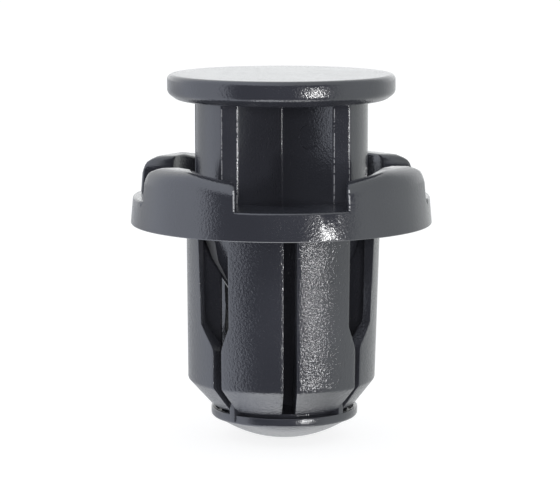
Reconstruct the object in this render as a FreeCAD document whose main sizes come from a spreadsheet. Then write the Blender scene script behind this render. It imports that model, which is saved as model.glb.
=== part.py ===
# Push-type retainer for car trim: a split sleeve with a notched flange, and the pin that is pushed
# down through it to spread its legs. The pin is drawn up, as the clip is before it is locked.
#
# Frame, in millimetres: +Z up along the clip's axis, origin on the axis in the plane of the
# flange's underside, the face that rests on the panel. The front is -Y, the right is +X.

import FreeCAD, Part
import math
import os
import Sketcher

doc = FreeCAD.newDocument("push_clip")

# Two lengths in millimetres, or two volumes in cubic millimetres, closer than this are the same.
SAME = 1e-4

# Driving dimensions: alias, value, what it is. Millimetres and degrees.
SIZES = [
    ("panel_hole", 12.0, "diameter of the panel's hole that the barrel drops into"),
    ("panel_clearance", 0.1, "radial gap between the barrel and that hole"),
    ("flange_radius", 9.25, "outer radius of the flange at its underside"),
    ("base_thickness", 1.7, "thickness of the flange's disc"),
    ("wing_height", 3.8, "top of the wing walls over the flange's underside"),
    ("wing_lean", 0.25, "how far the wing walls lean in over their straight part"),
    ("wing_round", 1.1, "radius of the wing walls' outer top edge"),
    ("round_share", 0.75, "most of a wall's thickness that a round on it may take"),
    ("wing_gap", 0.2, "gap between the wing walls and the pin's head when it is down"),
    ("saddle_half_width", 5.8, "half width of the shallow dip across the front and back wing tops"),
    ("saddle_radius", 21.0, "radius of that dip"),
    ("front_notch_width", 6.72, "width of the pry notches at front and back"),
    ("side_notch_width", 5.7, "width of the notches at left and right"),
    ("side_notch_round", 0.8, "radius of the wing walls' top corners beside the side notches"),
    ("barrel_length", 9.6, "barrel under the flange, down to its lead-in"),
    ("barrel_lean", 0.12, "how far the legs lean in between the windows and the lead-in"),
    ("leg_wall", 0.52, "thickness of the barrel's wall"),
    ("lead_in_length", 1.6, "height of the tapered lead-in below it"),
    ("lead_in_radius", 4.43, "outer radius at the sleeve's lower end"),
    ("root_round", 0.25, "radius between the barrel and the flange's underside"),
    ("slot_angle", 46.9, "direction of the narrow slots between the legs, from the front"),
    ("slot_width", 0.6, "width of those slots"),
    ("window_length", 5.8, "height of the windows below the flange; the barrel is straight there"),
    ("window_straight", 2.2, "height of the windows' top part, where their sides are upright"),
    ("window_taper", 1.6, "height over which a window narrows to its slot"),
    ("window_to_front", 0.89, "window's edge from the slot's middle, towards the front leg"),
    ("window_to_side", 1.48, "window's edge from the slot's middle, towards the side leg"),
    ("window_flare", 0.28, "how much further out that edge is at the flange"),
    ("front_slot_width", 0.8, "width of the slots that part the front legs and the back legs"),
    ("guide_thickness", 1.0, "thickness of the guide ribs inside the side legs"),
    ("guide_depth", 1.7, "how far the guide ribs stand in from the bore"),
    ("guide_top_gap", 0.5, "start of the guide ribs below the flange's underside"),
    ("pin_clearance", 0.08, "radial gap between the shank and the sleeve's bore"),
    ("pin_travel", 5.89, "stroke of the pin, from drawn up to its head on the flange"),
    ("head_radius", 6.97, "radius of the pin's head"),
    ("head_thickness", 1.57, "thickness of the head"),
    ("head_top_round", 0.4, "radius of the head's top edge"),
    ("head_bevel_width", 0.57, "width of the bevel under the head"),
    ("head_bevel_height", 0.44, "height of the bevel under the head"),
    ("flat_distance", 3.57, "front and back flats of the shank from the axis"),
    ("channel_width", 5.9, "width of the V channels where they open in the flats"),
    ("channel_core", 1.6, "thickness left between the bottoms of the two V channels"),
    ("toe_lip", 1.11, "height of the toes' full thickness at the sleeve's lower end"),
    ("cam_upper_length", 2.35, "height of the cam's upper, steeper part"),
    ("cam_middle_radius", 4.5, "cam radius between its two parts"),
    ("cam_lower_length", 2.15, "height of the cam's lower, blunter part"),
    ("neck_radius", 3.2, "radius of the neck below the cam"),
    ("toe_clearance", 0.16, "radial gap between the neck and the toes of the legs"),
    ("guide_clearance", 0.1, "gap between the guide ribs and their grooves in the pin"),
    ("tip_gap", 0.23, "gap between the sleeve's lower end and the tip's rim"),
    ("tip_radius", 4.45, "radius of the tip's rim"),
    ("tip_rim_height", 0.43, "height of the tip's rim"),
    ("tip_round", 0.15, "radius of the rim's two edges"),
    ("dome_radius_at_rim", 4.25, "radius of the dome where it leaves the rim"),
    ("dome_height", 1.48, "height of the domed end"),
    ("rib_thickness", 0.45, "thickness of the four ribs that run in the slots"),
    ("rib_length", 3.7, "height of those ribs above the tip's rim"),
    ("edge_round", 0.15, "radius on the shank's long edges"),
]

# Sizes worked out from those above, as formulas: alias, formula, what it is.
DERIVED = [
    ("barrel_radius", "sizes.panel_hole / 2 - sizes.panel_clearance", "outside of the barrel"),
    ("barrel_end_radius", "barrel_radius - sizes.barrel_lean", "outside of the legs' lower end"),
    ("bore_radius", "barrel_radius - sizes.leg_wall", "inside of the sleeve"),
    ("pin_radius", "bore_radius - sizes.pin_clearance", "radius of the pin's shank"),
    ("wing_inner_radius", "sizes.head_radius + sizes.wing_gap", "inside of the wing walls"),
    ("wing_top_radius", "sizes.flange_radius - sizes.wing_lean", "wing walls' lean ends here"),
    ("wing_wall", "wing_top_radius - wing_inner_radius", "thickness of the wing walls at the top"),
    ("wing_edge", "min(sizes.wing_round; sizes.round_share * wing_wall)", "round on that wall"),
    ("sleeve_bottom", "-sizes.barrel_length - sizes.lead_in_length", "sleeve's lower end"),
    ("toe_radius", "sizes.neck_radius + sizes.toe_clearance", "inside of the toes"),
    ("toe_end", "sleeve_bottom + sizes.toe_lip", "the toes reach their full thickness"),
    ("toe_middle", "toe_end + sizes.cam_lower_length", "the toes' slope changes here"),
    ("toe_middle_radius", "sizes.cam_middle_radius + sizes.pin_clearance", "and at this radius"),
    ("toe_start", "toe_middle + sizes.cam_upper_length", "toes start to thicken here"),
    ("cam_bottom", "toe_end + sizes.pin_travel", "end of the cam cone, pin drawn up"),
    ("cam_middle", "toe_middle + sizes.pin_travel", "change of the cam's slope"),
    ("cam_top", "toe_start + sizes.pin_travel", "start of the cam cone"),
    ("guide_radius", "bore_radius - sizes.guide_depth", "inner edge of the guide ribs"),
    ("head_underside", "sizes.base_thickness + sizes.pin_travel", "underside of the head"),
    ("head_top", "head_underside + sizes.head_thickness", "top of the clip"),
    ("rim_top", "sleeve_bottom - sizes.tip_gap", "top of the tip's rim"),
    ("rim_bottom", "rim_top - sizes.tip_rim_height", "bottom of the tip's rim"),
    ("tip_bottom", "rim_bottom - sizes.dome_height", "lowest point of the clip"),
    ("groove_radius", "guide_radius - sizes.guide_clearance", "bottom of the pin's grooves"),
    ("groove_half_width", "sizes.guide_thickness / 2 + sizes.guide_clearance", "and half width"),
    ("outside", "sizes.flange_radius + sizes.head_radius", "a reach past every surface"),
]


def fill_sheet(name, rows, prefix):
    """A spreadsheet with one aliased cell for each row, and what the row is beside it."""
    sheet = doc.addObject("Spreadsheet::Sheet", name)
    for number, (alias, content, meaning) in enumerate(rows, start=1):
        sheet.set("A%d" % number, prefix + str(content))
        sheet.setAlias("A%d" % number, alias)
        sheet.set("B%d" % number, meaning)
    return sheet


sizes = fill_sheet("sizes", SIZES, "")
derived = fill_sheet("derived", DERIVED, "=")
doc.recompute()


def value(formula):
    """The number that a formula in sheet names comes to."""
    return float(derived.evalExpression(formula))


def new_body(name):
    body = doc.addObject("PartDesign::Body", name)
    body.Label = name
    body.Placement = FreeCAD.Placement()
    return body


def origin_item(body, role):
    """One of the body's own planes or axes, by its role."""
    return [item for item in body.Origin.OriginFeatures if item.Role == role][0]


def bind_corner(sketch, geometry, end, formulas):
    """Ties one end of a sketch edge to the sketch's axes by its two formulas."""
    for kind, axis, formula in (("DistanceX", -2, formulas[0]), ("DistanceY", -1, formulas[1])):
        if formula == "0":
            sketch.addConstraint(Sketcher.Constraint("PointOnObject", geometry, end, axis))
        else:
            rule = Sketcher.Constraint(kind, -1, 1, geometry, end, value(formula))
            index = sketch.addConstraint(rule)
            sketch.setExpression("Constraints[%d]" % index, formula)


def centre_of_arc(start, end, radius, side):
    """Centre of the arc between two points, to the left (+1) or right (-1) of start to end."""
    chord = end - start
    half = chord.Length / 2
    across = FreeCAD.Vector(-chord.y, chord.x, 0).normalize()
    return (start + end) * 0.5 + across * (side * math.sqrt(max(radius ** 2 - half ** 2, 0)))


def add_edge(sketch, start, end, bend):
    """Adds a line or an arc from start to end; returns its number and which end is the start."""
    if bend is None:
        return sketch.addGeometry(Part.LineSegment(start, end), False), 1, 2
    side, radius = bend
    centre = centre_of_arc(start, end, value(radius), side)
    circle = Part.Circle(centre, FreeCAD.Vector(0, 0, 1), value(radius))
    first, last = (start, end) if side > 0 else (end, start)
    angles = [math.atan2(point.y - centre.y, point.x - centre.x) for point in (first, last)]
    if angles[1] < angles[0]:
        angles[1] += 2 * math.pi
    geometry = sketch.addGeometry(Part.ArcOfCircle(circle, *angles), False)
    return (geometry, 1, 2) if side > 0 else (geometry, 2, 1)


def outline(body, name, plane, corners):
    """A closed sketch on one of the body's planes.

    Each corner is (x formula, y formula), or has a third item, (side, radius formula), when an
    arc leads from it to the next corner with its centre on that side: +1 left, -1 right.
    """
    sketch = body.newObject("Sketcher::SketchObject", name)
    sketch.AttachmentSupport = [(origin_item(body, plane), "")]
    sketch.MapMode = "FlatFace"
    points = [FreeCAD.Vector(value(corner[0]), value(corner[1]), 0) for corner in corners]
    edges = []
    for index, corner in enumerate(corners):
        bend = corner[2] if len(corner) > 2 else None
        edges.append(add_edge(sketch, points[index], points[(index + 1) % len(points)], bend))
    for index, corner in enumerate(corners):
        geometry, start, end = edges[index]
        following, its_start, its_end = edges[(index + 1) % len(edges)]
        joined = Sketcher.Constraint("Coincident", geometry, end, following, its_start)
        sketch.addConstraint(joined)
        bind_corner(sketch, geometry, start, corner)
        if len(corner) > 2:
            radius = Sketcher.Constraint("Radius", geometry, value(corner[2][1]))
            row = sketch.addConstraint(radius)
            sketch.setExpression("Constraints[%d]" % row, corner[2][1])
    doc.recompute()
    return sketch


def block(low_x, low_y, high_x, high_y):
    """The corners of a rectangle, from formulas."""
    return [(low_x, low_y), (high_x, low_y), (high_x, high_y), (low_x, high_y)]


def revolve(body, name, sketch):
    feature = body.newObject("PartDesign::Revolution", name)
    feature.Profile = sketch
    feature.ReferenceAxis = (sketch, ["V_Axis"])
    feature.Angle = 360
    doc.recompute()
    return feature


def extrude(body, kind, name, sketch, length, symmetric=False, reverse=False):
    """A pad or a pocket; it must change the body's volume the right way."""
    before = body.Shape.Volume
    feature = body.newObject("PartDesign::" + kind, name)
    feature.Profile = sketch
    feature.SideType = "Symmetric" if symmetric else "One side"
    feature.Reversed = reverse
    feature.setExpression("Length", length)
    doc.recompute()
    grown = body.Shape.Volume - before
    if (kind == "Pad") != (grown > 0):
        raise RuntimeError("%s changed the volume by %.3f" % (name, grown))
    return feature


def mirror_and_turn(body, name, feature):
    """Repeats a feature in all four quarters: mirrored left to right, then turned by half."""
    before = body.Shape.Volume
    mirrored = body.newObject("PartDesign::Mirrored", name + "_mirrored")
    mirrored.MirrorPlane = (origin_item(body, "YZ_Plane"), [""])
    turned = body.newObject("PartDesign::PolarPattern", name + "_turned")
    turned.Axis = (origin_item(body, "Z_Axis"), [""])
    turned.Angle = 360
    turned.Occurrences = 2
    pattern = body.newObject("PartDesign::MultiTransform", name)
    pattern.Originals = [feature]
    pattern.Transformations = [mirrored, turned]
    body.Tip = pattern
    doc.recompute()
    if abs(body.Shape.Volume - before) < SAME:
        raise RuntimeError("%s repeated nothing" % name)
    return pattern


def round_edges(body, name, radius, wanted):
    """Fillets the edges of the body's last feature that wanted(edge) picks."""
    last = body.Tip
    found = ["Edge%d" % number for number, edge in enumerate(last.Shape.Edges, start=1)
             if not edge.Degenerated and wanted(edge)]
    if not found:
        raise RuntimeError("%s found no edge" % name)
    fillet = body.newObject("PartDesign::Fillet", name)
    fillet.Base = (last, found)
    fillet.setExpression("Radius", radius)
    doc.recompute()
    return fillet


def circle_at(radius, height):
    """Picks a full circle about the axis by its radius and height, both formulas."""
    def wanted(edge):
        curve = edge.Curve
        return (isinstance(curve, Part.Circle) and abs(curve.Radius - value(radius)) < SAME
                and abs(curve.Center.z - value(height)) < SAME
                and math.hypot(curve.Center.x, curve.Center.y) < SAME)
    return wanted


def sleeve_turned_form(body):
    """Flange, wing ring and barrel in one turned profile, with the toes inside the barrel."""
    profile = outline(body, "sleeve_profile", "XZ_Plane", [
        ("derived.bore_radius", "sizes.base_thickness"),
        ("derived.wing_inner_radius", "sizes.base_thickness"),
        ("derived.wing_inner_radius", "sizes.wing_height"),
        ("derived.wing_top_radius - derived.wing_edge", "sizes.wing_height",
         (-1, "derived.wing_edge")),
        ("derived.wing_top_radius", "sizes.wing_height - derived.wing_edge"),
        ("sizes.flange_radius", "0"),
        ("derived.barrel_radius", "0"),
        ("derived.barrel_radius", "-sizes.window_length"),
        ("derived.barrel_end_radius", "-sizes.barrel_length"),
        ("sizes.lead_in_radius", "derived.sleeve_bottom"),
        ("derived.toe_radius", "derived.sleeve_bottom"),
        ("derived.toe_radius", "derived.toe_end"),
        ("derived.toe_middle_radius", "derived.toe_middle"),
        ("derived.bore_radius", "derived.toe_start"),
    ])
    revolve(body, "turned_form", profile)
    round_edges(body, "barrel_root", "sizes.root_round", circle_at("derived.barrel_radius", "0"))


def sleeve_notches(body):
    """Front, back and side notches down to the disc, and the dip in the wing tops."""
    half = "sizes.front_notch_width / 2"
    front = outline(body, "front_notch_profile", "XZ_Plane",
                    block("-" + half, "sizes.base_thickness", half, "derived.outside"))
    extrude(body, "Pocket", "front_and_back_notches", front, "2 * derived.outside", symmetric=True)

    dip = outline(body, "saddle_profile", "XZ_Plane", [
        ("-sizes.saddle_half_width", "sizes.wing_height", (1, "sizes.saddle_radius")),
        ("sizes.saddle_half_width", "sizes.wing_height"),
        ("sizes.saddle_half_width", "derived.outside"),
        ("-sizes.saddle_half_width", "derived.outside"),
    ])
    extrude(body, "Pocket", "saddle", dip, "2 * derived.outside", symmetric=True)

    half = "sizes.side_notch_width / 2"
    wide = half + " + sizes.side_notch_round"
    shoulder = "sizes.wing_height - sizes.side_notch_round"
    side = outline(body, "side_notch_profile", "YZ_Plane", [
        ("-" + half, "sizes.base_thickness"),
        (half, "sizes.base_thickness"),
        (half, shoulder, (-1, "sizes.side_notch_round")),
        (wide, "sizes.wing_height"),
        (wide, "derived.outside"),
        ("-(%s)" % wide, "derived.outside"),
        ("-(%s)" % wide, "sizes.wing_height", (-1, "sizes.side_notch_round")),
        ("-" + half, shoulder),
    ])
    extrude(body, "Pocket", "side_notches", side, "2 * derived.outside", symmetric=True)


def sleeve_legs(body):
    """Windows and slots that part the barrel into two front, two back and two side legs."""
    below = "derived.sleeve_bottom - sizes.lead_in_length"
    left = "-sizes.slot_width / 2"
    right = "sizes.slot_width / 2"
    taper_end = "-sizes.window_length - sizes.window_taper"
    window = outline(body, "window_profile", "XZ_Plane", [
        (left, below),
        (right, below),
        (right, taper_end),
        ("sizes.window_to_side", "-sizes.window_length"),
        ("sizes.window_to_side + sizes.window_flare", "-sizes.window_straight"),
        ("sizes.window_to_side + sizes.window_flare", "0"),
        ("-sizes.window_to_front", "0"),
        ("-sizes.window_to_front", "-sizes.window_length"),
        (left, taper_end),
    ])
    turn = FreeCAD.Rotation(FreeCAD.Vector(0, 1, 0), value("sizes.slot_angle"))
    window.AttachmentOffset = FreeCAD.Placement(FreeCAD.Vector(0, 0, 0), turn)
    window.setExpression("AttachmentOffset.Rotation.Angle", "sizes.slot_angle")
    doc.recompute()
    cut = extrude(body, "Pocket", "window", window, "derived.outside", reverse=True)
    mirror_and_turn(body, "windows", cut)

    half = "sizes.front_slot_width / 2"
    slot = outline(body, "front_slot_profile", "XZ_Plane", block("-" + half, below, half, "0"))
    extrude(body, "Pocket", "front_and_back_slots", slot, "2 * derived.outside", symmetric=True)


def sleeve_guides(body):
    """Guide ribs inside the two side legs, for the grooves of the pin."""
    top = "-sizes.guide_top_gap"
    root = "(derived.bore_radius + derived.barrel_end_radius) / 2"
    for side, sign in (("left", "-"), ("right", "")):
        corners = block(sign + "derived.guide_radius", "-sizes.barrel_length",
                        sign + "(%s)" % root, top)
        rib = outline(body, side + "_guide_profile", "XZ_Plane", corners)
        extrude(body, "Pad", side + "_guide", rib, "sizes.guide_thickness", symmetric=True)


def make_sleeve():
    body = new_body("sleeve")
    sleeve_turned_form(body)
    sleeve_notches(body)
    sleeve_legs(body)
    sleeve_guides(body)
    return body


def pin_turned_form(body):
    """Head, shank, cam, neck, rim and dome in one turned profile."""
    dome_sphere = ("(sizes.dome_radius_at_rim * sizes.dome_radius_at_rim"
                   " + sizes.dome_height * sizes.dome_height) / (2 * sizes.dome_height)")
    profile = outline(body, "pin_profile", "XZ_Plane", [
        ("0", "derived.head_top"),
        ("0", "derived.tip_bottom", (1, dome_sphere)),
        ("sizes.dome_radius_at_rim", "derived.rim_bottom"),
        ("sizes.tip_radius", "derived.rim_bottom"),
        ("sizes.tip_radius", "derived.rim_top"),
        ("sizes.neck_radius", "derived.rim_top"),
        ("sizes.neck_radius", "derived.cam_bottom"),
        ("sizes.cam_middle_radius", "derived.cam_middle"),
        ("derived.pin_radius", "derived.cam_top"),
        ("derived.pin_radius", "derived.head_underside"),
        ("sizes.head_radius - sizes.head_bevel_width", "derived.head_underside"),
        ("sizes.head_radius", "derived.head_underside + sizes.head_bevel_height"),
        ("sizes.head_radius", "derived.head_top"),
    ])
    revolve(body, "turned_form", profile)
    round_edges(body, "head_top_edge", "sizes.head_top_round",
                circle_at("sizes.head_radius", "derived.head_top"))
    for name, height in (("rim_upper_edge", "derived.rim_top"),
                         ("rim_lower_edge", "derived.rim_bottom")):
        round_edges(body, name, "sizes.tip_round", circle_at("sizes.tip_radius", height))


def cut_from_head(body, name, profile):
    """Cuts a profile out of the shank, from the head's underside down to the tip's rim."""
    profile.setExpression("AttachmentOffset.Base.z", "derived.head_underside")
    doc.recompute()
    extrude(body, "Pocket", name, profile, "derived.head_underside - derived.rim_top")


def pin_channels(body):
    """Flats and V channels at front and back, grooves at the sides, head to rim."""
    wide = "derived.outside"
    mouth = "sizes.channel_width / 2"
    for side, sign in (("front", "-"), ("back", "")):
        face = sign + "sizes.flat_distance"
        far = sign + wide
        profile = outline(body, side + "_channel_profile", "XY_Plane", [
            ("-" + wide, far),
            ("-" + wide, face),
            ("-" + mouth, face),
            ("0", sign + "sizes.channel_core / 2"),
            (mouth, face),
            (wide, face),
            (wide, far),
        ])
        cut_from_head(body, side + "_channel", profile)
    half = "derived.groove_half_width"
    for side, sign in (("left", "-"), ("right", "")):
        corners = block(sign + "derived.groove_radius", "-" + half, sign + wide, half)
        profile = outline(body, side + "_groove_profile", "XY_Plane", corners)
        cut_from_head(body, side + "_groove", profile)


def pin_ribs(body):
    """Four thin ribs that stand on the rim, in the slots between the legs."""
    half = "sizes.rib_thickness / 2"
    profile = outline(body, "rib_profile", "XZ_Plane",
                      block("-" + half, "derived.rim_top - sizes.tip_rim_height / 2",
                            half, "derived.rim_top + sizes.rib_length"))
    turn = FreeCAD.Rotation(FreeCAD.Vector(0, 1, 0), value("sizes.slot_angle"))
    profile.AttachmentOffset = FreeCAD.Placement(FreeCAD.Vector(0, 0, 0), turn)
    profile.setExpression("AttachmentOffset.Rotation.Angle", "sizes.slot_angle")
    doc.recompute()
    rib = extrude(body, "Pad", "rib", profile, "sizes.lead_in_radius")
    mirror_and_turn(body, "ribs", rib)


def pin_edges(body):
    """Rounds the long edges of the shank that the light catches."""
    def wanted(edge):
        if not isinstance(edge.Curve, Part.Line):
            return False
        ends = [vertex.Point for vertex in edge.Vertexes]
        upright = math.hypot(ends[0].x - ends[1].x, ends[0].y - ends[1].y) < SAME
        high = abs(max(ends[0].z, ends[1].z) - value("derived.head_underside")) < SAME
        on_flat = abs(abs(ends[0].y) - value("sizes.flat_distance")) < SAME
        return upright and high and on_flat
    round_edges(body, "shank_edges", "sizes.edge_round", wanted)


def make_pin():
    body = new_body("push_pin")
    pin_turned_form(body)
    pin_channels(body)
    pin_ribs(body)
    pin_edges(body)
    return body


def check(bodies):
    """Stops the script if any object failed or a body's shape isn't one sound solid."""
    for item in doc.Objects:
        if "Invalid" in item.State or "Error" in item.State:
            raise RuntimeError("%s failed: %s" % (item.Name, item.State))
    for body in bodies:
        shape = body.Shape
        if shape.isNull() or not shape.isValid() or len(shape.Solids) != 1:
            raise RuntimeError("%s isn't one sound solid" % body.Label)


bodies = [make_sleeve(), make_pin()]
doc.recompute()
check(bodies)
os.makedirs("parts", exist_ok=True)
for body in bodies:
    body.Shape.exportStep("parts/%s.step" % body.Label)
    print(body.Label, round(body.Shape.Volume, 3), "mm3")
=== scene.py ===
"""Push-type trim clip: the split sleeve and the pin that slides in it, as moulded plastic.

Pieces are modelled in millimetres and brought to metres when they are finished. The axis is Z, with
the origin in the plane of the flange's underside; the photographed front is -Y.
"""

import math

import bmesh
import bpy
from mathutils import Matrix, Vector


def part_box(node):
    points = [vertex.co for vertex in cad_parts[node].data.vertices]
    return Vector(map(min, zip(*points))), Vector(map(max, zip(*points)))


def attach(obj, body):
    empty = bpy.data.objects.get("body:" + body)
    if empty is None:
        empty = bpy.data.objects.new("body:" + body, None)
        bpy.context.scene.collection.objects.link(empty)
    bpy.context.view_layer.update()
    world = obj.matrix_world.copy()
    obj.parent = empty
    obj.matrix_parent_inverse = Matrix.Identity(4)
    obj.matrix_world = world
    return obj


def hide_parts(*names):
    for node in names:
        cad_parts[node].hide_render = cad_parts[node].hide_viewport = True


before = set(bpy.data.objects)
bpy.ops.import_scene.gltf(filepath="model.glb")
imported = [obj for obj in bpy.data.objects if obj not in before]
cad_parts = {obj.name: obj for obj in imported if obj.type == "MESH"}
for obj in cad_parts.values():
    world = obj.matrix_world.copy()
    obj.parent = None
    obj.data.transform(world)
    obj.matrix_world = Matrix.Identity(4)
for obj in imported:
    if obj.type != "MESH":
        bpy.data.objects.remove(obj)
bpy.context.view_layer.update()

MM = 0.001

# Sizes read from the frame, in millimetres.
sleeve_low, sleeve_high = (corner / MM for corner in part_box("sleeve"))
pin_low, pin_high = (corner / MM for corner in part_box("push_pin"))
FLANGE_RADIUS = sleeve_high.x
WING_TOP = sleeve_high.z
SLEEVE_END = sleeve_low.z
HEAD_TOP = pin_high.z
TIP_END = pin_low.z

# The flange and its wing walls. Angles here and below are in degrees.
BASE_THICKNESS = 1.7
WING_INNER = 7.17
WING_LEAN = 0.25
WING_ROUND = 1.1
WING_ROUND_STEPS = 6
FRONT_NOTCH_HALF = 3.36
SIDE_NOTCH_HALF = 2.85
SIDE_NOTCH_ROUND = 0.8
WING_CORNER_ROUND = 0.35
NOTCH_FLAT_ANGLE = 3
NOTCH_FADED_ANGLE = 14

# The walls dip next to the front and back notches, most of all along their inner side.
SADDLE_HALF = 5.8
SADDLE_RADIUS = 25.5
SADDLE_TILT = 0.16
SADDLE_TILT_RUN = 1.0

# The barrel and its lead-in. Its outside stands a little to the right, as the sample's does.
BARREL_RADIUS = 5.95
BARREL_SHIFT = 0.12
BORE_RADIUS = 5.38
LEG_WALL = BARREL_RADIUS - BORE_RADIUS
ROOT_ROUND = 0.25
LEAD_IN_TOP = -9.6
LEAD_IN_RADIUS = 4.43
LEAD_IN_BLEND = 0.03

# The toes inside the legs' lower ends.
STRAIGHT_END = -5.59
TOE_MIDDLE = -7.94
TOE_MIDDLE_RADIUS = 4.58
TOE_TOP = -10.09
TOE_RADIUS = 3.36

# The slots between the legs, which widen into windows, and how far each leg leans in.
SLOT_ANGLE = 46.9
SLOT_HALF = 0.3
SLOT_START = -7.45
FRONT_SLOT_HALF = 0.4
WINDOW_TO_FRONT = 0.89
WINDOW_TO_SIDE = 1.48
WINDOW_FLARE = 0.28
WINDOW_END = -5.8
FRONT_LEAN = 0.12
RIGHT_LEAN = 0.28
LEFT_LEAN = 0.06

# The two guide ribs inside the side legs.
GUIDE_HALF = 0.5
GUIDE_RADIUS = 3.68
GUIDE_TOP = -0.5
GUIDE_ROOT = 0.1

# How deep pieces sink into each other before they are joined, and the roundings.
SINK = 0.4
BORE_STEP = 0.03
EDGE = 0.12
LEG_EDGE = 0.04
SHARP = 50

# The flat layouts: one millimetre along X is 1 / ROLL_RADIUS of a radian round the axis.
ROLL_RADIUS = 8.2
TURN_STEP = 2.5


def select_only(obj):
    """Selects obj alone and makes it the active object."""
    bpy.ops.object.select_all(action="DESELECT")
    obj.select_set(True)
    bpy.context.view_layer.objects.active = obj


def edit(obj, kind):
    """Opens obj for editing with nothing selected; kind is VERT, EDGE or FACE."""
    select_only(obj)
    bpy.ops.object.mode_set(mode="EDIT")
    bpy.ops.mesh.select_mode(type=kind)
    bpy.ops.mesh.select_all(action="DESELECT")


def close():
    """Leaves editing."""
    bpy.ops.object.mode_set(mode="OBJECT")


def pick(obj, kind, wanted):
    """Selects the vertices, edges or faces for which wanted(item) is true."""
    mesh = bmesh.from_edit_mesh(obj.data)
    bpy.ops.mesh.select_mode(type=kind)
    bpy.ops.mesh.select_all(action="DESELECT")
    items = {"VERT": mesh.verts, "EDGE": mesh.edges, "FACE": mesh.faces}[kind]
    for item in items:
        if wanted(item):
            item.select_set(True)
    bmesh.update_edit_mesh(obj.data)


def pick_faces(obj, wanted):
    """Selects the faces for which wanted(middle of face) is true."""
    pick(obj, "FACE", lambda face: wanted(face.calc_center_median()))


def cut_faces(obj, wanted, place, normal):
    """Bisects only the faces for which wanted(middle of face) is true."""
    pick_faces(obj, wanted)
    bpy.ops.mesh.bisect(plane_co=place, plane_no=normal)


def drop_faces(obj, wanted):
    """Deletes the faces for which wanted(middle of face) is true."""
    pick_faces(obj, wanted)
    bpy.ops.mesh.delete(type="FACE")


def near(first, second):
    """Whether two sizes are the same to within a micrometre."""
    return abs(first - second) < 1e-3


def middle(edge):
    """The middle point of an edge."""
    return (edge.verts[0].co + edge.verts[1].co) / 2


def is_corner(edge):
    """Whether two faces meet at a sharp outward corner."""
    return edge.is_manifold and edge.calc_face_angle_signed(0) > math.radians(SHARP)


def is_bent(edge, least):
    """Whether two faces meet at more than the given degrees, inwards or outwards."""
    return edge.is_manifold and edge.calc_face_angle(0) > math.radians(least)


def within(low, amount, high):
    """The amount, held between low and high."""
    return min(max(amount, low), high)


def cut_across(place, normal, **options):
    """Bisects everything at a plane."""
    bpy.ops.mesh.select_all(action="SELECT")
    bpy.ops.mesh.bisect(plane_co=place, plane_no=normal, **options)


def move_all(obj, place):
    """Moves each vertex to where place(its position) says."""
    for vertex in obj.data.vertices:
        vertex.co = place(vertex.co)


def named(name, obj=None):
    """Names an object and its mesh, or those of the shape that was added last."""
    obj = bpy.context.active_object if obj is None else obj
    obj.name = name
    obj.data.name = name
    return obj


def face_outwards():
    """Turns all faces outwards."""
    bpy.ops.mesh.select_all(action="SELECT")
    bpy.ops.mesh.normals_make_consistent(inside=False)


def weld(obj):
    """Merges doubles and turns all faces outwards."""
    edit(obj, "VERT")
    bpy.ops.mesh.select_all(action="SELECT")
    bpy.ops.mesh.remove_doubles(threshold=1e-4)
    face_outwards()
    close()


def apply_place(obj):
    """Puts an object's place, turn and scale into its mesh and its origin on the axis."""
    select_only(obj)
    bpy.ops.object.transform_apply(location=True, rotation=True, scale=True)


def finish_modifier(obj, modifier):
    """Applies a modifier."""
    select_only(obj)
    bpy.ops.object.modifier_apply(modifier=modifier.name)


def combine(obj, other, operation):
    """Applies a boolean with another object, which is then deleted."""
    modifier = obj.modifiers.new(operation.lower(), "BOOLEAN")
    modifier.operation = operation
    modifier.solver = "EXACT"
    modifier.object = other
    finish_modifier(obj, modifier)
    bpy.data.objects.remove(other)


def round_by_weight(obj, width, segments):
    """Rounds the edges that carry a bevel weight, each by width times its weight."""
    modifier = obj.modifiers.new("round", "BEVEL")
    modifier.limit_method = "WEIGHT"
    modifier.offset_type = "OFFSET"
    modifier.width = width
    modifier.segments = segments
    modifier.use_clamp_overlap = False
    finish_modifier(obj, modifier)


def round_edges(obj, width, segments, wanted):
    """Rounds the edges for which wanted(edge) is true."""
    pick(obj, "EDGE", wanted)
    bpy.ops.mesh.bevel(offset=width, segments=segments, affect="EDGES", clamp_overlap=False)


def round_corners(obj, width, segments=3, wanted=lambda edge: True):
    """Rounds the sharp outward edges for which wanted(edge) is true."""
    round_edges(obj, width, segments, lambda edge: is_corner(edge) and wanted(edge))


def flat_x(angle):
    """Place along a flat layout of an angle in degrees."""
    return math.radians(angle) * ROLL_RADIUS


def rolled(angle, radius, height):
    """The place at an angle in radians from the front, a radius and a height."""
    return Vector((radius * math.sin(angle), -radius * math.cos(angle), height))


def divide_turn(start, end, kept=()):
    """Cuts a flat piece at every step of the turn, but not close to the angles that are kept."""
    steps = round((end - start) / TURN_STEP)
    for step in range(1, steps):
        angle = start + (end - start) * step / steps
        if all(abs(angle - other) > TURN_STEP / 2 for other in kept):
            cut_across((flat_x(angle), 0, 0), (1, 0, 0))


def blend_in(distance, start, end):
    """1 up to start, 0 from end on, with an eased change between."""
    share = within(0.0, (end - distance) / (end - start), 1.0)
    return share * share * (3 - 2 * share)


# The flange with its four wing walls, modelled flat and rolled round.


def wing_ends():
    """The eight wing ends: (middle angle of the notch, its half width, which side of it)."""
    ends = []
    for centre, half in ((-180, FRONT_NOTCH_HALF), (-90, SIDE_NOTCH_HALF), (0, FRONT_NOTCH_HALF),
                         (90, SIDE_NOTCH_HALF), (180, FRONT_NOTCH_HALF)):
        ends += [(centre, half, side) for side in (-1, 1) if abs(centre + side) < 180]
    return ends


def end_angle(end, radius):
    """The angle in degrees at which a notch's flat side meets a radius."""
    centre, half, side = end
    return centre + side * math.degrees(math.asin(half / radius))


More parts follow.
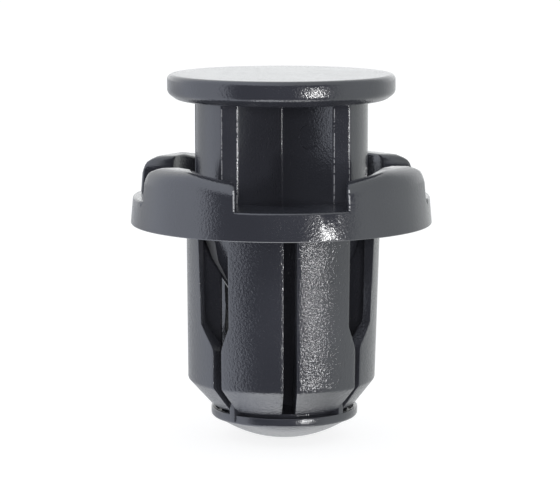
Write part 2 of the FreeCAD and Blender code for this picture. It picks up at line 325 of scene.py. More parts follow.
def flange_place(flat):
    """Rolls a point of the flange; the notches' sides stay flat, and the wings lean and dip."""
    angle = math.degrees(flat.x / ROLL_RADIUS)
    turned = angle
    for end in wing_ends():
        straight = end_angle(end, ROLL_RADIUS)
        shift = end_angle(end, max(flat.y, WING_INNER)) - straight
        turned += shift * blend_in(abs(angle - straight), NOTCH_FLAT_ANGLE, NOTCH_FADED_ANGLE)
    outward = within(0.0, (flat.y - WING_INNER) / (FLANGE_RADIUS - WING_INNER), 1.0)
    round_start = WING_TOP - WING_ROUND
    radius = flat.y - WING_LEAN * outward * min(flat.z / round_start, 1.0)
    place = rolled(math.radians(turned), radius, flat.z)
    if abs(place.x) < SADDLE_HALF and flat.z > BASE_THICKNESS:
        dip = math.sqrt(SADDLE_RADIUS ** 2 - place.x ** 2)
        dip -= math.sqrt(SADDLE_RADIUS ** 2 - SADDLE_HALF ** 2)
        crest = FLANGE_RADIUS - WING_ROUND
        inward = within(0.0, (crest - flat.y) / (crest - WING_INNER), 1.0)
        dip += SADDLE_TILT * inward * min(SADDLE_HALF - abs(place.x), SADDLE_TILT_RUN)
        rise = (flat.z - BASE_THICKNESS) / (round_start - BASE_THICKNESS)
        place.z -= dip * min(rise, 1.0)
    return place


def make_flange():
    """The flange's disc with its four wing walls."""
    length = flat_x(360)
    bore = BORE_RADIUS + BORE_STEP
    width = FLANGE_RADIUS - bore
    bpy.ops.object.select_all(action="DESELECT")
    bpy.ops.mesh.primitive_plane_add(size=1, location=(0, bore + width / 2, 0))
    flange = named("flange")
    flange.scale = (length, width, 1)
    apply_place(flange)
    ends = wing_ends()
    places = sorted(flat_x(end_angle(end, ROLL_RADIUS)) for end in ends)
    spans = list(zip(places[::2], places[1::2]))
    edit(flange, "VERT")
    cut_across((0, WING_INNER, 0), (0, 1, 0))
    for place in places:
        cut_across((place, 0, 0), (1, 0, 0))

    bpy.ops.mesh.select_all(action="SELECT")
    bpy.ops.mesh.extrude_region_move(TRANSFORM_OT_translate={"value": (0, 0, BASE_THICKNESS)})

    def on_wing(centre):
        return (near(centre.z, BASE_THICKNESS) and centre.y > WING_INNER
                and any(low < centre.x < high for low, high in spans))

    pick_faces(flange, on_wing)
    bpy.ops.mesh.extrude_region_move(
        TRANSFORM_OT_translate={"value": (0, 0, WING_TOP - BASE_THICKNESS)})
    face_outwards()

    def outer_top(edge):
        return near(middle(edge).z, WING_TOP) and near(middle(edge).y, FLANGE_RADIUS)

    def side_end(edge):
        return any(near(middle(edge).x, flat_x(end_angle(end, ROLL_RADIUS)))
                   for end in ends if abs(end[0]) == 90)

    def side_top(edge):
        return side_end(edge) and near(middle(edge).z, WING_TOP)

    def side_upright(edge):
        centre = middle(edge)
        return side_end(edge) and near(centre.y, FLANGE_RADIUS) and centre.z > BASE_THICKNESS

    for wanted, size in ((outer_top, WING_ROUND), (side_top, SIDE_NOTCH_ROUND),
                         (side_upright, WING_CORNER_ROUND)):
        pick(flange, "EDGE", wanted)
        bpy.ops.transform.edge_bevelweight(value=size / WING_ROUND)
    close()
    round_by_weight(flange, WING_ROUND, WING_ROUND_STEPS)
    edit(flange, "EDGE")
    round_corners(flange, EDGE, wanted=lambda edge: not near(abs(middle(edge).x), length / 2))
    drop_faces(flange, lambda centre: near(abs(centre.x), length / 2))
    divide_turn(-180, 180, [end_angle(end, ROLL_RADIUS) for end in ends])
    close()
    move_all(flange, flange_place)
    weld(flange)
    return flange


# Legs, each modelled as a flat plate and rolled round.


def leg_outside(z, lean):
    """Outer radius of a leg at a height; lean is how far it has bent in at the lead-in."""
    straight = BARREL_RADIUS + lean * z / -LEAD_IN_TOP
    if z > -ROOT_ROUND:
        rise = min(z, 0.0) + ROOT_ROUND
        straight += ROOT_ROUND - math.sqrt(ROOT_ROUND ** 2 - rise ** 2)
    corner = BARREL_RADIUS - lean
    slope = (corner - LEAD_IN_RADIUS) / (LEAD_IN_TOP - SLEEVE_END)
    lead_in = LEAD_IN_RADIUS + slope * (z - SLEEVE_END)
    low = min(straight, lead_in)
    spread = sum(math.exp((low - line) / LEAD_IN_BLEND) for line in (straight, lead_in))
    return low - LEAD_IN_BLEND * math.log(spread)


def leg_inside(z):
    """Inner radius of the legs, which thicken into toes at the lower end."""
    corners = [(SINK, BORE_RADIUS), (STRAIGHT_END, BORE_RADIUS), (TOE_MIDDLE, TOE_MIDDLE_RADIUS),
               (TOE_TOP, TOE_RADIUS), (SLEEVE_END, TOE_RADIUS)]
    for (high, upper), (low, lower) in zip(corners, corners[1:]):
        if z >= low:
            return upper + (lower - upper) * (high - z) / (high - low)
    return TOE_RADIUS


def leg_rows():
    """Heights at which a leg's outline or wall changes."""
    root = [SINK, 0.03, -0.02, -0.07, -0.14, -ROOT_ROUND]
    upper = [-1.0, -2.0, -3.0, -4.0, -5.0, WINDOW_END + 0.12]
    bend = [WINDOW_END + (SLOT_START - WINDOW_END) * step / 12 for step in range(13)]
    lower = [TOE_MIDDLE, -8.7, -9.3, -9.52, -9.6, -9.68, -9.8, TOE_TOP, -10.6, SLEEVE_END]
    return root + upper + bend + lower


def window_side(slot_angle, side, width, flare):
    """The edge of the leg on one side of a window, as (slot angle, offset from it at a height)."""
    def offset(z):
        if z > WINDOW_END:
            return side * (width + flare * (1 - z / WINDOW_END))
        # Below the window it narrows steadily at first, and eases into the slot at the end.
        share = min((WINDOW_END - z) / (WINDOW_END - SLOT_START), 1.0)
        narrowed = 1.2 * share if share < 2 / 3 else 1 - 1.8 * (1 - share) ** 2
        return side * (width + (SLOT_HALF - width) * narrowed)
    return slot_angle, offset


def slot_side(slot_angle, side):
    """The edge of a leg beside a straight slot."""
    return slot_angle, lambda z: side * FRONT_SLOT_HALF


def make_leg(name, left, right, lean):
    """One leg between two edges: a plate, thickened inwards, with all its edges rounded."""
    heights = leg_rows()
    scale = ROLL_RADIUS / BARREL_RADIUS

    def edge_x(edge, z):
        slot_angle, offset = edge
        return flat_x(slot_angle) + offset(z) * scale

    bpy.ops.object.select_all(action="DESELECT")
    bpy.ops.mesh.primitive_plane_add(size=1, rotation=(math.radians(90), 0, 0),
                                     location=(0, BARREL_RADIUS, (SINK + SLEEVE_END) / 2))
    leg = named(name)
    leg.scale = (1, SINK - SLEEVE_END, 1)
    apply_place(leg)
    edit(leg, "VERT")
    for height in heights[1:-1]:
        cut_across((0, 0, height), (0, 0, 1))
    close()
    move_all(leg, lambda p: Vector((edge_x(right if p.x > 0 else left, p.z), p.y, p.z)))
    edit(leg, "FACE")
    bpy.ops.mesh.select_all(action="SELECT")
    bpy.ops.mesh.extrude_region_move(TRANSFORM_OT_translate={"value": (0, -LEG_WALL, 0)})
    face_outwards()
    round_corners(leg, LEG_EDGE)
    first = min(edge_x(left, height) for height in heights)
    last = max(edge_x(right, height) for height in heights)
    divide_turn(math.degrees(first / ROLL_RADIUS), math.degrees(last / ROLL_RADIUS))
    close()

    def place(flat):
        depth = BARREL_RADIUS - flat.y
        outside = leg_outside(flat.z, lean)
        share = depth / LEG_WALL
        if share < 0.5:
            radius = outside - depth
        else:
            radius = leg_inside(flat.z) + LEG_WALL - depth
        z = within(SLEEVE_END, flat.z, SINK)
        low_x, high_x = edge_x(left, z), edge_x(right, z)
        across = (flat.x - low_x) / (high_x - low_x)
        turned = flat.x / ROLL_RADIUS
        for weight, (slot_angle, offset) in ((1 - across, left), (across, right)):
            wide = offset(z)
            turned += weight * (math.asin(wide / radius) - wide / BARREL_RADIUS)
        return rolled(turned, radius, flat.z) + Vector((BARREL_SHIFT * (1 - share), 0, 0))

    move_all(leg, place)
    weld(leg)
    return leg


def make_legs():
    """Two legs at the front, two at the back and one at each side."""
    front = dict(width=WINDOW_TO_FRONT, flare=0.0)
    side = dict(width=WINDOW_TO_SIDE, flare=WINDOW_FLARE)
    near_slot, far_slot = SLOT_ANGLE, 180 - SLOT_ANGLE
    legs = [
        ("leg_front_right", slot_side(0, 1), window_side(near_slot, -1, **front), FRONT_LEAN),
        ("leg_right", window_side(near_slot, 1, **side), window_side(far_slot, -1, **side),
         RIGHT_LEAN),
        ("leg_back_right", window_side(far_slot, 1, **front), slot_side(180, -1), FRONT_LEAN),
        ("leg_back_left", slot_side(-180, 1), window_side(-far_slot, -1, **front), FRONT_LEAN),
        ("leg_left", window_side(-far_slot, 1, **side), window_side(-near_slot, -1, **side),
         LEFT_LEAN),
        ("leg_front_left", window_side(-near_slot, 1, **front), slot_side(0, -1), FRONT_LEAN),
    ]
    return [make_leg(*leg) for leg in legs]


def make_guides():
    """The two ribs inside the side legs, which run in the pin's grooves."""
    guides = []
    for side in (-1, 1):
        bpy.ops.object.select_all(action="DESELECT")
        outer = BORE_RADIUS + GUIDE_ROOT
        bpy.ops.mesh.primitive_cube_add(
            size=1, location=(side * (GUIDE_RADIUS + outer) / 2, 0, (GUIDE_TOP + LEAD_IN_TOP) / 2))
        guide = named("guide")
        guide.scale = (outer - GUIDE_RADIUS, 2 * GUIDE_HALF, GUIDE_TOP - LEAD_IN_TOP)
        apply_place(guide)
        edit(guide, "EDGE")
        round_corners(guide, EDGE)
        close()
        guides.append(guide)
    return guides


def make_sleeve():
    """The whole sleeve as one closed skin."""
    sleeve = make_flange()
    for piece in make_legs() + make_guides():
        combine(sleeve, piece, "UNION")
    return named("clip_sleeve", sleeve)


# Pin: its head.
HEAD_RADIUS = 6.97
HEAD_BOTTOM = HEAD_TOP - 1.57
HEAD_TOP_ROUND = 0.33
HEAD_BEVEL_WIDTH = 0.57
HEAD_BEVEL_HEIGHT = 0.44
HEAD_BEVEL_ROUND = 0.2

# The shank with flats and V channels at front and back, and grooves at the sides.
PIN_RADIUS = 5.3
FLAT = 3.63
CHANNEL_HALF = 2.9
CHANNEL_CORE = 0.8
GROOVE_HALF = 0.6
GROOVE_RADIUS = 3.58
MIDDLE_HALF = 0.1
SHANK_ROUND = 0.1
SHANK_CORNER = 25

# The cam's cone and the neck's top, as (radius, height) pairs, listed downwards.
CAM = [(5.3, 0.3), (4.5, -2.05), (3.2, -4.2)]

# The tip: a rim with a shallow cup and a boss inside it, over a dome. It stands a little askew.
RIM_TOP = -11.4
RIM_BOTTOM = -12.0
RIM_TOP_ROUND = 0.07
RIM_BOTTOM_ROUND = 0.22
TIP_RADIUS = 4.53
TIP_SHIFT = 0.19
CUP_RADIUS = 4.27
CUP_DRAFT = 0.05
CUP_FLOOR = -11.75
BOSS_RADIUS = 3.9
BOSS_TOP = -11.24
DOME_RADIUS = 4.2
TIP_SINK = 0.1
DOME_STEPS = 96

# The four ribs in the slots, with sloping shoulders.
RIB_HALF = 0.225
RIB_TOP = -8.8
RIB_SHOULDER = -10.4
RIB_SLOPE = (1.9, 1.2)
RIB_RADIUS = 4.56
RIB_SHIFT = 0.1
RIB_ROUND = 0.06
RIB_SINK = 0.05

# Round mark of an ejector pin in the front V channel's right wall.
MARK_PLACE = (1.48, -2.24, 5.45)
MARK_NORMAL = (-0.70, -0.716, 0)
MARK_RADIUS = 0.75
MARK_DEPTH = 0.08
MARK_STEPS = 40

# Steps round the axis of what is turned.
AROUND = 144


def cut_channels(shank):
    """Cuts the V channels at front and back out of the shank's outline."""
    for side in (-1, 1):
        def beyond_core(centre):
            return centre.y * side > CHANNEL_CORE

        for hand in (-1, 1):
            cut_faces(shank, beyond_core, (0, side * CHANNEL_CORE, 0),
                      (FLAT - CHANNEL_CORE, -side * hand * CHANNEL_HALF, 0))
        drop_faces(shank, lambda centre: beyond_core(centre) and abs(centre.x) < MIDDLE_HALF)


def cut_grooves(shank):
    """Cuts the grooves at both sides out of the shank's outline."""
    for side in (-1, 1):
        def beyond_groove(centre):
            return abs(centre.y) < CHANNEL_CORE and centre.x * side > GROOVE_RADIUS

        cut_faces(shank, lambda centre: abs(centre.y) < CHANNEL_CORE,
                  (side * GROOVE_RADIUS, 0, 0), (1, 0, 0))
        for hand in (-1, 1):
            cut_faces(shank, beyond_groove, (0, hand * GROOVE_HALF, 0), (0, 1, 0))
        drop_faces(shank, lambda centre: beyond_groove(centre) and abs(centre.y) < GROOVE_HALF)


def make_shank():
    """The pin's shank with its flats, V channels and side grooves, and its cam and neck."""
    top = HEAD_BOTTOM + SINK
    bottom = CUP_FLOOR - TIP_SINK
    bpy.ops.object.select_all(action="DESELECT")
    bpy.ops.mesh.primitive_circle_add(vertices=AROUND, radius=PIN_RADIUS, fill_type="NGON",
                                      location=(0, 0, top),
                                      rotation=(0, 0, math.radians(180 / AROUND)))
    shank = named("shank")
    apply_place(shank)
    edit(shank, "FACE")
    for side in (-1, 1):
        cut_across((0, side * FLAT, 0), (0, side, 0), clear_outer=True)
        cut_across((0, side * CHANNEL_CORE, 0), (0, 1, 0))
    cut_channels(shank)
    cut_grooves(shank)
    bpy.ops.mesh.select_all(action="SELECT")
    bpy.ops.mesh.extrude_region_move(TRANSFORM_OT_translate={"value": (0, 0, bottom - top)})
    face_outwards()
    close()
    edit(shank, "EDGE")

    def upright_corner(edge):
        across = edge.verts[0].co - edge.verts[1].co
        return near(across.x, 0) and near(across.y, 0) and is_bent(edge, SHANK_CORNER)

    round_edges(shank, SHANK_ROUND, 3, upright_corner)
    close()
    slope = (CAM[0][1] - CAM[1][1]) / (CAM[0][0] - CAM[1][0])
    clear = PIN_RADIUS + SINK
    profile = [(clear, top + 1), (clear, CAM[0][1] + slope * (clear - CAM[0][0]))]
    profile += CAM[1:] + [(CAM[2][0], bottom - 1)]
    combine(shank, make_turned("cam", profile), "INTERSECT")
    return shank


def make_turned(name, profile):
    """A closed solid turned about the axis from (radius, height) pairs, listed downwards."""
    radius, height = profile[0]
    bpy.ops.object.select_all(action="DESELECT")
    bpy.ops.mesh.primitive_circle_add(vertices=AROUND, radius=radius, fill_type="NGON",
                                      location=(0, 0, height))
    turned = named(name)
    apply_place(turned)
    edit(turned, "FACE")
    bpy.ops.mesh.select_all(action="SELECT")
    for (wide, high), (narrow, low) in zip(profile, profile[1:]):
        bpy.ops.mesh.extrude_region_move(TRANSFORM_OT_translate={"value": (0, 0, low - high)})
        bpy.ops.transform.resize(value=(narrow / wide, narrow / wide, 1),
                                 center_override=(0, 0, low))
    face_outwards()
    close()
    return turned


def make_head():
    """The flat head with its rounded top edge and the bevel under its rim."""
    bevel_top = HEAD_BOTTOM + HEAD_BEVEL_HEIGHT
    head = make_turned("head", [(HEAD_RADIUS, HEAD_TOP), (HEAD_RADIUS, bevel_top),
                                (HEAD_RADIUS - HEAD_BEVEL_WIDTH, HEAD_BOTTOM)])
    edit(head, "EDGE")
    round_corners(head, HEAD_TOP_ROUND, 6, lambda edge: near(middle(edge).z, HEAD_TOP))
    round_edges(head, HEAD_BEVEL_ROUND, 4,
                lambda edge: middle(edge).z < bevel_top + 0.1 and is_bent(edge, 30))
    close()
    return head


def make_tip():
    """The round rim at the pin's end and the shallow dome below it."""
    tip = make_turned("tip", [(BOSS_RADIUS, BOSS_TOP), (BOSS_RADIUS, CUP_FLOOR),
                              (CUP_RADIUS - CUP_DRAFT, CUP_FLOOR), (CUP_RADIUS, RIM_TOP),
                              (TIP_RADIUS, RIM_TOP), (TIP_RADIUS, RIM_BOTTOM)])
    edit(tip, "EDGE")
    round_corners(tip, RIM_TOP_ROUND, 3, lambda edge: near(middle(edge).z, RIM_TOP))
    round_corners(tip, RIM_BOTTOM_ROUND, 6, lambda edge: near(middle(edge).z, RIM_BOTTOM))
    close()
    height = RIM_BOTTOM - TIP_END
    ball = (DOME_RADIUS ** 2 + height ** 2) / (2 * height)
    bpy.ops.object.select_all(action="DESELECT")
    bpy.ops.mesh.primitive_uv_sphere_add(segments=DOME_STEPS, ring_count=DOME_STEPS,
                                         radius=ball, location=(0, 0, TIP_END + ball))
    dome = named("dome")
    apply_place(dome)
    edit(dome, "FACE")
    cut_across((0, 0, RIM_BOTTOM + TIP_SINK), (0, 0, 1), clear_outer=True, use_fill=True)
    face_outwards()
    close()
    combine(tip, dome, "UNION")
    tip.location.x = TIP_SHIFT
    apply_place(tip)
    return tip


def make_ribs():
    """Two crossed plates: the four ribs that run in the slots between the legs."""
    ribs = []
    low = CUP_FLOOR - RIB_SINK
    for turn in (SLOT_ANGLE, -SLOT_ANGLE):
        bpy.ops.object.select_all(action="DESELECT")
        bpy.ops.mesh.primitive_cube_add(size=1, location=(0, 0, (RIB_TOP + low) / 2))
        rib = named("rib")
        rib.scale = (2 * RIB_HALF, 2 * RIB_RADIUS, RIB_TOP - low)
        apply_place(rib)
        edit(rib, "EDGE")
        outward, upward = RIB_SLOPE
        for side in (-1, 1):
            cut_across((0, side * RIB_RADIUS, RIB_SHOULDER), (0, side * outward, upward),
                       clear_outer=True, use_fill=True)
        face_outwards()
        round_corners(rib, RIB_ROUND, 2, lambda edge: not near(middle(edge).z, low))
        close()
        rib.rotation_euler.z = math.radians(turn)
        rib.location.x = RIB_SHIFT
        apply_place(rib)
        ribs.append(rib)
    return ribs


def make_mark():
    """The round cutter that leaves the ejector pin's shallow mark."""
    bpy.ops.object.select_all(action="DESELECT")
    bpy.ops.mesh.primitive_cylinder_add(vertices=MARK_STEPS, radius=MARK_RADIUS,
                                        depth=2 * MARK_DEPTH, location=MARK_PLACE)
    mark = named("mark")
    mark.rotation_euler = Vector(MARK_NORMAL).to_track_quat("Z", "Y").to_euler()
    apply_place(mark)
    return mark


def make_pin():
    """The whole pin as one closed skin."""
    pin = make_shank()
    for piece in [make_head(), make_tip()] + make_ribs():
        combine(pin, piece, "UNION")
    combine(pin, make_mark(), "DIFFERENCE")
    return named("clip_pin", pin)


# Black plastic. GRAIN_SIZE, CLOUD_SIZE, DUST_SPACING and DASH_SIZE are in metres, and DUST_SIZE
# and DUST_SHARE are parts of the spacing and of all specks; the rest is in millimetres as before.
ROUGHNESS = 0.12
GLOSS_CHANGE = 0.05
PLASTIC_IOR = 1.6
GRAIN_SIZE = 0.00013
GRAIN_FADE = 0.2
CLOUD_SIZE = 0.004
CLOUD_SHADES = (0.8, 1.3)
DUST_SPACING = 0.0013
DUST_SIZE = 0.03
DUST_SHARE = 0.35
DUST_COLOUR = (0.35, 0.35, 0.36)

# Edges whitened in short dashes, wear together with a painted highlight. The gaps are what is left
# out of them.
DASH_SIZE = 0.00012
EDGE_DASH_GAPS = 0.44
EDGE_DASH_HALF = 0.03
EDGE_DASH_DEPTH = 0.07
EDGE_DASH_CHANNEL_EDGE = CHANNEL_HALF + 0.02
EDGE_DASH_TOP = HEAD_BOTTOM - 0.3
WEAR_AND_HIGHLIGHT_COLOUR = (0.34, 0.34, 0.36)

# The corners of the wings at the front and back notches, whitened in dashes in the same way as a
# painted highlight.
CORNER_GAPS = 0.42
CORNER_SIDES = (FRONT_NOTCH_HALF - 0.02, FRONT_NOTCH_HALF + 0.06)
CORNER_HEIGHTS = (BASE_THICKNESS + 0.05, 3.0)
CORNER_DEPTH = 8.1
CORNER_HIGHLIGHT_COLOUR = (0.45, 0.45, 0.46)

# The band of painted light on the cam, where light falls in through the left windows: (height,
# degrees from the front) at the ends of its two sides.
LIT_BAND_NEAR_SIDE = ((-0.95, 59), (-3.25, 66))
LIT_BAND_FAR_SIDE = ((-0.95, 74.5), (-3.4, 70))
LIT_BAND_END = -3.4
LIT_BAND_FADE = 2
CAM_LIGHT_COLOUR = (0.27, 0.275, 0.29)


def new_material(name):
    """A material, its node tree and its shader."""
    material = bpy.data.materials.new(name)
    material.use_nodes = True
    tree = material.node_tree
    return material, tree, tree.nodes["Principled BSDF"]


def adjust(made, **settings):
    """Sets a node's properties, or its inputs by name with underscores for spaces."""
    for key, setting in settings.items():
        socket = key.replace("_", " ")
        if socket in made.inputs:
            made.inputs[socket].default_value = setting
        else:
            setattr(made, key, setting)
    return made


def node(tree, kind, **settings):
    """Adds a node with the given settings."""
    return adjust(tree.nodes.new(kind), **settings)


def link(tree, source, shader_node, socket):
    """Joins an output to an input, given by name or number."""
    tree.links.new(source, shader_node.inputs[socket])


def ramp(tree, source, start, end, low, high, kind="LINEAR"):
    """Goes from low to high as the source goes from start to end."""
    made = node(tree, "ShaderNodeMapRange", interpolation_type=kind, From_Min=start, From_Max=end,
                To_Min=low, To_Max=high)
    link(tree, source, made, "Value")
    return made.outputs["Result"]


def smooth_step(tree, source, start, end):
    """Eases from 0 to 1 as the source goes from start to end."""
    return ramp(tree, source, start, end, 0.0, 1.0, "SMOOTHSTEP")


def calculate(tree, operation, first, second=0.0):
    """A math node of two sockets or numbers."""
    made = node(tree, "ShaderNodeMath", operation=operation)
    for place, given in enumerate((first, second)):
        if isinstance(given, (int, float)):
            made.inputs[place].default_value = given
        else:
            link(tree, given, made, place)
    return made.outputs["Value"]


def between(tree, low, source, high):
    """1 where the source is between low and high, else 0."""
    return calculate(tree, "MULTIPLY", calculate(tree, "GREATER_THAN", source, low),
                     calculate(tree, "LESS_THAN", source, high))


def blend_colour(tree, share, first, second):
    """A colour that goes from first to second as share goes from 0 to 1."""
    mix = node(tree, "ShaderNodeMix", data_type="RGBA")
    link(tree, share, mix, "Factor")
    first_input, second_input, colour_output = 6, 7, 2
    for place, given in ((first_input, first), (second_input, second)):
        if isinstance(given, tuple):
            mix.inputs[place].default_value = (*given, 1)
        else:
            link(tree, given, mix, place)
    return mix.outputs[colour_output]


def object_place(tree):
    """The place on the object, and its parts along X, Y and Z."""
    place = node(tree, "ShaderNodeTexCoord").outputs["Object"]
    parts = node(tree, "ShaderNodeSeparateXYZ")
    link(tree, place, parts, "Vector")
    return [place] + [parts.outputs[axis] for axis in "XYZ"]


def plastic(name, colour, specular, grain_depth, fine_share):
    """Black moulded plastic: an eroded grain, slow changes of gloss, clouds and specks of dust.

    Above the panel, z 0, the grain is only fine_share as deep.
    """
    material, tree, shader = new_material(name)
    adjust(shader, Base_Color=(*colour, 1), Roughness=ROUGHNESS, IOR=PLASTIC_IOR,
           Specular_IOR_Level=specular)
    place, _, _, height = object_place(tree)
    grain = node(tree, "ShaderNodeTexNoise", Scale=1 / GRAIN_SIZE, Detail=2.0, Roughness=0.6)
    clouds = node(tree, "ShaderNodeTexNoise", Scale=1 / CLOUD_SIZE, Detail=1.0)
    dust = node(tree, "ShaderNodeTexVoronoi", Scale=1 / DUST_SPACING)
    for texture in (grain, clouds, dust):
        link(tree, place, texture, "Vector")
    gloss = ramp(tree, clouds.outputs["Fac"], 0.0, 1.0, ROUGHNESS - GLOSS_CHANGE,
                 ROUGHNESS + GLOSS_CHANGE)
    link(tree, gloss, shader, "Roughness")
    darker, lighter = (tuple(part * shade for part in colour) for shade in CLOUD_SHADES)
    skin = blend_colour(tree, clouds.outputs["Fac"], darker, lighter)
    in_speck = calculate(tree, "LESS_THAN", dust.outputs["Distance"], DUST_SIZE)
    chance = node(tree, "ShaderNodeSeparateColor")
    link(tree, dust.outputs["Color"], chance, "Color")
    chosen = calculate(tree, "LESS_THAN", chance.outputs["Red"], DUST_SHARE)
    speck = calculate(tree, "MULTIPLY", in_speck, chosen)
    link(tree, blend_colour(tree, speck, skin, DUST_COLOUR), shader, "Base Color")
    depth = ramp(tree, height, -GRAIN_FADE * MM, 0.0, 1.0, fine_share)
    bump = node(tree, "ShaderNodeBump", Strength=1.0, Distance=grain_depth)
    link(tree, calculate(tree, "MULTIPLY", grain.outputs["Fac"], depth), bump, "Height")
    link(tree, bump.outputs["Normal"], shader, "Normal")
    return material


def whiten(material, masks, colour):
    """Puts a lighter colour on a plastic where all the masks are 1."""
    tree = material.node_tree
    shader = tree.nodes["Principled BSDF"]
    mask = masks[0]
    for other in masks[1:]:
        mask = calculate(tree, "MULTIPLY", mask, other)
    skin = shader.inputs["Base Color"].links[0].from_socket
    link(tree, blend_colour(tree, mask, skin, colour), shader, "Base Color")


def dashes(tree, place, gaps):
    """1 in small patches that break a line into dashes, with more gaps for a higher number."""
    patches = node(tree, "ShaderNodeTexNoise", Scale=1 / DASH_SIZE, Detail=1.0)
    link(tree, place, patches, "Vector")
    return calculate(tree, "GREATER_THAN", patches.outputs["Fac"], gaps)


def wear_and_highlight_edges(material):
    """Wear and a painted highlight: short dashes on the shank's four long edges at front and back.
    """
    tree = material.node_tree
    place, across, back, height = object_place(tree)
    wide = calculate(tree, "ABSOLUTE", across)
    deep = calculate(tree, "ABSOLUTE", back)
    flat_edge = math.sqrt(PIN_RADIUS ** 2 - FLAT ** 2) - EDGE_DASH_HALF
    lines = [between(tree, (edge - EDGE_DASH_HALF) * MM, wide, (edge + EDGE_DASH_HALF) * MM)
             for edge in (flat_edge, EDGE_DASH_CHANNEL_EDGE)]
    # Painted highlight along these edges, together with their wear.
    whiten(material, [calculate(tree, "MAXIMUM", *lines),
                      calculate(tree, "GREATER_THAN", deep, (FLAT - EDGE_DASH_DEPTH) * MM),
                      between(tree, CAM[0][1] * MM, height, EDGE_DASH_TOP * MM),
                      dashes(tree, place, EDGE_DASH_GAPS)], WEAR_AND_HIGHLIGHT_COLOUR)


def paint_notch_highlights(material):
    """Painted highlight: dashes on the wings' upright corners by the front and back notches."""
    tree = material.node_tree
    place, across, back, height = object_place(tree)
    wide = calculate(tree, "ABSOLUTE", across)
    deep = calculate(tree, "ABSOLUTE", back)
    # Painted highlight: the lighter dashes stand for the light these corners catch.
    whiten(material, [between(tree, CORNER_SIDES[0] * MM, wide, CORNER_SIDES[1] * MM),
                      calculate(tree, "GREATER_THAN", deep, CORNER_DEPTH * MM),
                      between(tree, CORNER_HEIGHTS[0] * MM, height, CORNER_HEIGHTS[1] * MM),
                      dashes(tree, place, CORNER_GAPS)], CORNER_HIGHLIGHT_COLOUR)


def paint_cam_light(material):
    """Painted light: a lit band on the cam behind the left windows, where light falls in."""
    tree = material.node_tree
    _, across, back, height = object_place(tree)
    wide = calculate(tree, "ABSOLUTE", across)
    deep = calculate(tree, "ABSOLUTE", back)
    sides = []
    for (top, top_angle), (low, low_angle) in (LIT_BAND_NEAR_SIDE, LIT_BAND_FAR_SIDE):
        sides.append(ramp(tree, height, top * MM, low * MM, math.radians(top_angle),
                          math.radians(low_angle)))
    # Painted light: the band is made lighter where the tent's light reaches the cam.
    whiten(material, [between(tree, sides[0], calculate(tree, "ARCTAN2", wide, deep), sides[1]),
                      between(tree, LIT_BAND_END * MM, height, CAM[0][1] * MM),
                      smooth_step(tree, across, LIT_BAND_FADE * MM, -LIT_BAND_FADE * MM)],
           CAM_LIGHT_COLOUR)


# Camera: degrees from the front and up, its distance, and the point it looks at, given in
# millimetres to its right and up from the origin.
CAMERA_AZIMUTH = -4.1
CAMERA_ELEVATION = 8.3
CAMERA_DISTANCE = 0.154
CAMERA_SENSOR = 36.0
CAMERA_LENS = 160.7
TARGET_RIGHT = -0.08
TARGET_UP = -1.86

# Lights: degrees from the front and up, distance, width, height and radiance. A small window
# right of the camera with a glow round it, a box below, and a matt fill into the slots.
LIGHTS = {
    "window": (30, -7, 0.30, 0.035, 0.035, 40.0),
    "window_glow": (30, -7, 0.32, 0.13, 0.13, 1.6),
    "low_box": (0, -75, 0.30, 0.30, 0.30, 1.4),
    "front_fill": (-4, 9, 0.35, 0.10, 0.10, 13.5),
}
MATT_LIGHTS = ("front_fill",)
LIGHTS_TARGET = (0, 0, -0.002)

# The white floor.
FLOOR_SIZE = 4
FLOOR_COLOUR = (0.4, 0.4, 0.4, 1)
FLOOR_GLOW = 0.8

# The light tent, as mirrored in the clip. Its opening is given in degrees from the front; the
# pairs of numbers are where one part fades into the next, as parts of a direction of length 1.
OPENING = (-60, 50)
OPENING_EDGE = 2
OPENING_BOTTOM = (-0.9, -0.6)
OPENING_TOP = (0.4, 0.7)
LEFT_TO_RIGHT = (-0.35, 0.35)
FRONT_TO_BACK = (0.35, 0.8)
FLOOR_TO_WALL = (-0.75, -0.5)
WALL_TO_SKY = (-0.06, 0.04)
ROOM = (0.04, 0.042, 0.06)
PLAIN = (0.6, 0.615, 0.64)
TENT_LEFT = (1.04, 1.1, 1.24)
TENT_RIGHT = (0.70, 0.735, 0.73)
BACK_SKY = (1.32, 1.34, 1.35)
BACK_LEFT = (0.68, 0.7, 0.73)
BACK_RIGHT = (0.85, 0.87, 0.87)
BACK_FLOOR = (1.75, 1.76, 1.78)


def direction(azimuth, elevation):
    """The direction at these degrees from the front and up."""
    turn, rise = math.radians(azimuth), math.radians(elevation)
    return Vector((math.sin(turn) * math.cos(rise), -math.cos(turn) * math.cos(rise),
                   math.sin(rise)))


def put(name, data, target, away, distance):
    """Adds a lamp or camera that looks at target from a distance in the direction away."""
    obj = bpy.data.objects.new(name, data)
    bpy.context.scene.collection.objects.link(obj)
    obj.location = target + away * distance
    obj.rotation_euler = away.to_track_quat("Z", "Y").to_euler()
    return obj


def make_lights():
    """The soft boxes. A radiance of 1 is white."""
    for name, (azimuth, elevation, distance, width, height, radiance) in LIGHTS.items():
        light = bpy.data.lights.new(name, "AREA")
        light.shape = "RECTANGLE"
        light.size = width
        light.size_y = height
        light.energy = radiance * math.pi * width * height
        lamp = put(name, light, Vector(LIGHTS_TARGET), direction(azimuth, elevation), distance)
        lamp.visible_camera = False
        lamp.visible_glossy = name not in MATT_LIGHTS


def make_camera():
    """The photograph's camera, a little left of the front and above."""
    data = bpy.data.cameras.new("camera")
    data.sensor_width = CAMERA_SENSOR
    data.lens = CAMERA_LENS
    data.clip_start = 0.01
    right = direction(CAMERA_AZIMUTH + 90, 0)
    target = Vector((0, 0, TARGET_UP * MM)) + right * (TARGET_RIGHT * MM)
    bpy.context.scene.camera = put("camera", data, target,
                                   direction(CAMERA_AZIMUTH, CAMERA_ELEVATION), CAMERA_DISTANCE)


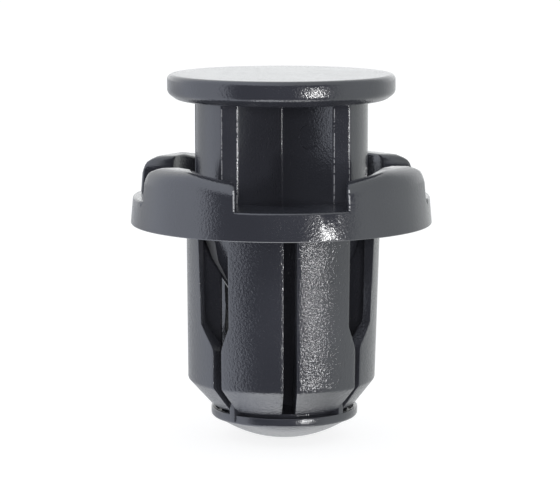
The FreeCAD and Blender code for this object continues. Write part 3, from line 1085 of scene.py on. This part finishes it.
def make_floor():
    """A white floor under the tip. The camera sees it white, less the clip's soft shadow."""
    bpy.ops.object.select_all(action="DESELECT")
    bpy.ops.mesh.primitive_plane_add(size=FLOOR_SIZE, location=(0, 0, TIP_END * MM))
    floor = named("floor")
    material, tree, shader = new_material("white_floor")
    adjust(shader, Base_Color=FLOOR_COLOUR, Roughness=1.0, Specular_IOR_Level=0.0,
           Emission_Color=(1, 1, 1, 1))
    light_path = node(tree, "ShaderNodeLightPath")
    glow = calculate(tree, "MULTIPLY", light_path.outputs["Is Camera Ray"], FLOOR_GLOW)
    link(tree, glow, shader, "Emission Strength")
    floor.data.materials.append(material)
    floor.visible_glossy = False
    floor.visible_shadow = False


def make_world():
    """White to the camera and a plain soft light on what is matt.

    In glossy surfaces it shows as a light tent that is open to a dark room in front.
    """
    world = bpy.data.worlds.new("studio")
    bpy.context.scene.world = world
    world.use_nodes = True
    tree = world.node_tree
    parts = node(tree, "ShaderNodeSeparateXYZ")
    link(tree, node(tree, "ShaderNodeTexCoord").outputs["Generated"], parts, "Vector")
    across, back, rise = (parts.outputs[axis] for axis in "XYZ")

    turn = calculate(tree, "ARCTAN2", across, calculate(tree, "MULTIPLY", back, -1))
    from_left, from_right = (smooth_step(tree, turn, math.radians(angle - OPENING_EDGE),
                                         math.radians(angle + OPENING_EDGE)) for angle in OPENING)
    opening = calculate(tree, "SUBTRACT", from_left, from_right)
    band = calculate(tree, "SUBTRACT", smooth_step(tree, rise, *OPENING_BOTTOM),
                     smooth_step(tree, rise, *OPENING_TOP))
    dark = calculate(tree, "MULTIPLY", opening, band)

    to_right = smooth_step(tree, across, *LEFT_TO_RIGHT)
    tent = blend_colour(tree, to_right, TENT_LEFT, TENT_RIGHT)
    wall = blend_colour(tree, to_right, BACK_LEFT, BACK_RIGHT)
    low = blend_colour(tree, smooth_step(tree, rise, *FLOOR_TO_WALL), BACK_FLOOR, wall)
    behind = blend_colour(tree, smooth_step(tree, rise, *WALL_TO_SKY), low, BACK_SKY)
    light = blend_colour(tree, smooth_step(tree, back, *FRONT_TO_BACK), tent, behind)
    light = blend_colour(tree, dark, light, ROOM)

    light_path = node(tree, "ShaderNodeLightPath")
    shown = blend_colour(tree, light_path.outputs["Is Camera Ray"], light, (1, 1, 1))
    plain = blend_colour(tree, light_path.outputs["Is Diffuse Ray"], shown, PLAIN)
    link(tree, plain, tree.nodes["Background"], "Color")


# The whole scene. Faces that meet at less than these degrees are shaded as one.
SMOOTH_BELOW = 32


def finish_piece(piece, material, body, cad_node):
    """Brings a piece to metres, shades it, and sets what it stands for."""
    piece.scale = (MM, MM, MM)
    apply_place(piece)
    bpy.ops.object.shade_smooth_by_angle(angle=math.radians(SMOOTH_BELOW))
    even = piece.modifiers.new("even_shading", "WEIGHTED_NORMAL")
    even.keep_sharp = True
    finish_modifier(piece, even)
    piece.data.materials.clear()
    piece.data.materials.append(material)
    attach(piece, body)
    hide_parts(cad_node)


make_camera()
make_world()
make_lights()
make_floor()
bpy.context.scene.view_settings.view_transform = "Standard"

sleeve_plastic = plastic("sleeve_plastic", (0.032, 0.033, 0.040), specular=0.8,
                         grain_depth=0.00004, fine_share=0.4)
pin_plastic = plastic("pin_plastic", (0.035, 0.036, 0.044), specular=0.72,
                      grain_depth=0.000018, fine_share=1.0)
# Painted highlights on the notch corners and on the shank's edges, which are also worn, and painted
# light on the cam.
paint_notch_highlights(sleeve_plastic)
wear_and_highlight_edges(pin_plastic)
paint_cam_light(pin_plastic)
finish_piece(make_sleeve(), sleeve_plastic, "sleeve_body", "sleeve")
finish_piece(make_pin(), pin_plastic, "pin_body", "push_pin")
